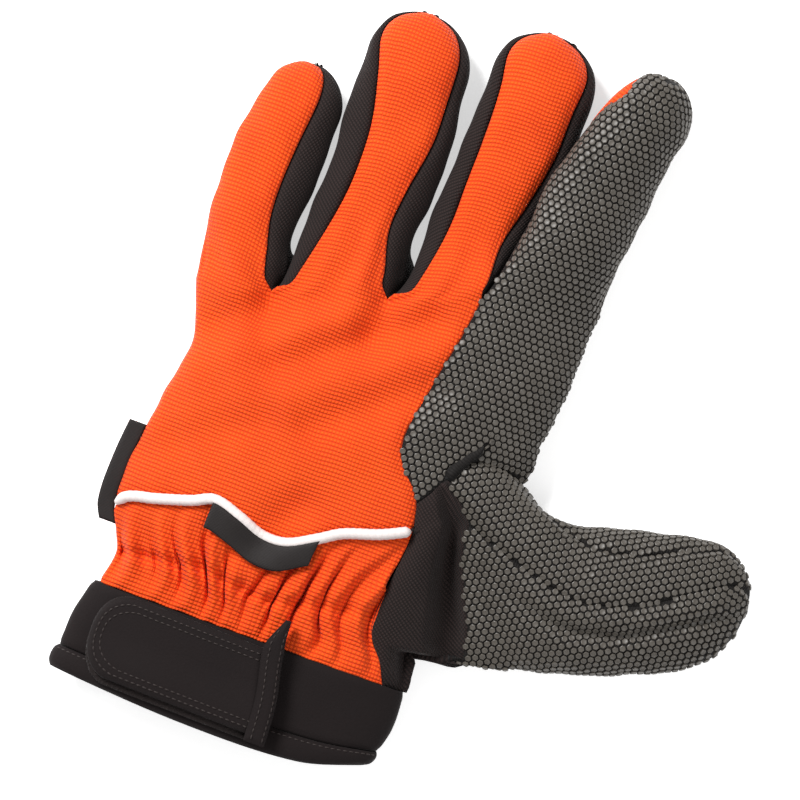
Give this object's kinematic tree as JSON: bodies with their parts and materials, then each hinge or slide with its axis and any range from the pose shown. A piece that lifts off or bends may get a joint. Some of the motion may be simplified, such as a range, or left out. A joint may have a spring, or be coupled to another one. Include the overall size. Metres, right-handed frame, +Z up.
{
  "type": "fishing glove",
  "caption": "Left-hand fishing glove lying palm down, hollow, with full fingers, a guard-plate index finger and thumb, a gathered wrist and a neoprene cuff with a closure tab.",
  "frame": {"origin": "middle of the glove's box, on the surface that it lies on", "axes": "+Y from the cuff to the fingertips, +X to the thumb's side, +Z up through the back of the hand"},
  "size_m": [0.2062, 0.2454, 0.0273],
  "materials": {
    "ribbed_fabric": "ribbed stretch fabric, matt",
    "black_knit": "fine ribbed knit, matt",
    "guard_fabric": "woven base with small hexagonal resin guard plates, satin",
    "neoprene": "neoprene faced with smooth jersey, matt",
    "loop_pile": "fuzzy loop pile, matt",
    "white_piping": "corded piping, soft sheen",
    "label_tape": "woven tape, matt"
  },
  "bodies": {
    "root": {"back_panel": "ribbed_fabric", "index_back": "ribbed_fabric", "wrist_gather": "ribbed_fabric", "fourchette_little_ring": "black_knit", "fourchette_ring_middle": "black_knit", "fourchette_middle_index": "black_knit", "thumb_gusset": "black_knit", "palm_panel": "guard_fabric", "index_grip": "guard_fabric", "thumb_top_strip": "guard_fabric", "thumb_front_panel": "guard_fabric", "thumb_lower_panel": "guard_fabric", "thumb_palm_panel": "guard_fabric", "cuff": "neoprene", "cuff_hem": "neoprene", "closure_tab": "neoprene", "cuff_binding": "neoprene", "loop_patch": "loop_pile", "piping": "white_piping", "side_label": "label_tape", "wrist_label": "label_tape"}
  },
  "joints": []
}
